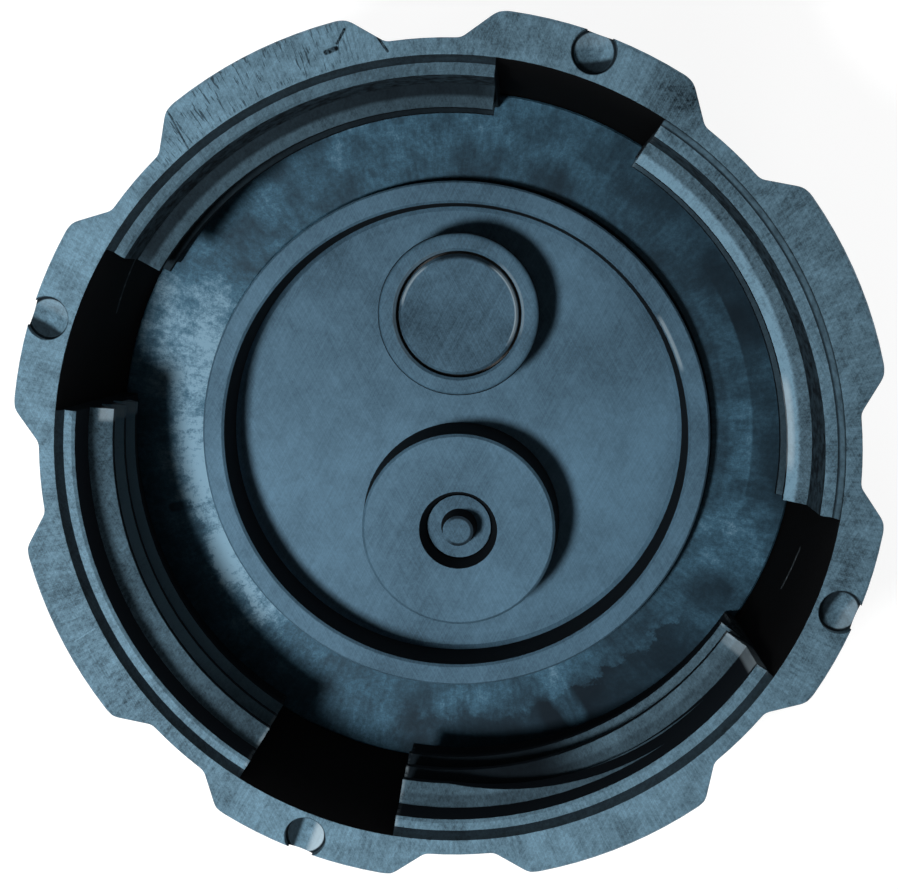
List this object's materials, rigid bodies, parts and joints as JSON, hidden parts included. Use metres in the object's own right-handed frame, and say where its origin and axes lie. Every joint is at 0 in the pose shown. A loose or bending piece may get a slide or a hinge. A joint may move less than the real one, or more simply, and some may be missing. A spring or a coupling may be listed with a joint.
{
  "type": "expansion tank cap",
  "caption": "Lobed screw cap for a coolant expansion tank, with an internal thread broken by gaps, a flat gasket and spring-loaded pressure and vacuum valves in a central cup.",
  "frame": {"origin": "centre of the closed outer face, which the cap stands on with its mouth up", "axes": "+Z out of the mouth along the thread's axis, +Y towards the smaller valve boss"},
  "size_m": [0.0948, 0.0948, 0.04],
  "materials": {
    "grip_plastic": "moulded, fine grain, scuffed",
    "carrier_plastic": "smooth moulded",
    "valve_plastic": "smooth moulded",
    "gasket_rubber": "matt with pale wear smears",
    "seal_rubber": "matt",
    "spring_steel": "drawn wire"
  },
  "bodies": {
    "cap": {"cap_shell": "grip_plastic", "neck_gasket": "gasket_rubber", "valve_carrier": "carrier_plastic", "carrier_o_ring": "seal_rubber", "vacuum_seat": "valve_plastic", "pressure_spring": "spring_steel", "vacuum_spring": "spring_steel"},
    "pressure_valve": {"pressure_valve_disc": "valve_plastic", "pressure_seal": "seal_rubber"},
    "vacuum_valve": {"vacuum_poppet": "valve_plastic", "vacuum_seal": "seal_rubber", "vacuum_retainer": "spring_steel"}
  },
  "joints": [
    {"name": "pressure_lift", "type": "slide", "parent": "cap", "child": "pressure_valve", "axis": [0, 0, -1], "range_m": [0, 0.002], "stiffness_N_per_m": 1500, "deforming": ["pressure_spring"]},
    {"name": "vacuum_lift", "type": "slide", "parent": "cap", "child": "vacuum_valve", "axis": [0, 0, 1], "range_m": [0, 0.0012], "stiffness_N_per_m": 200, "deforming": ["vacuum_spring"]}
  ]
}
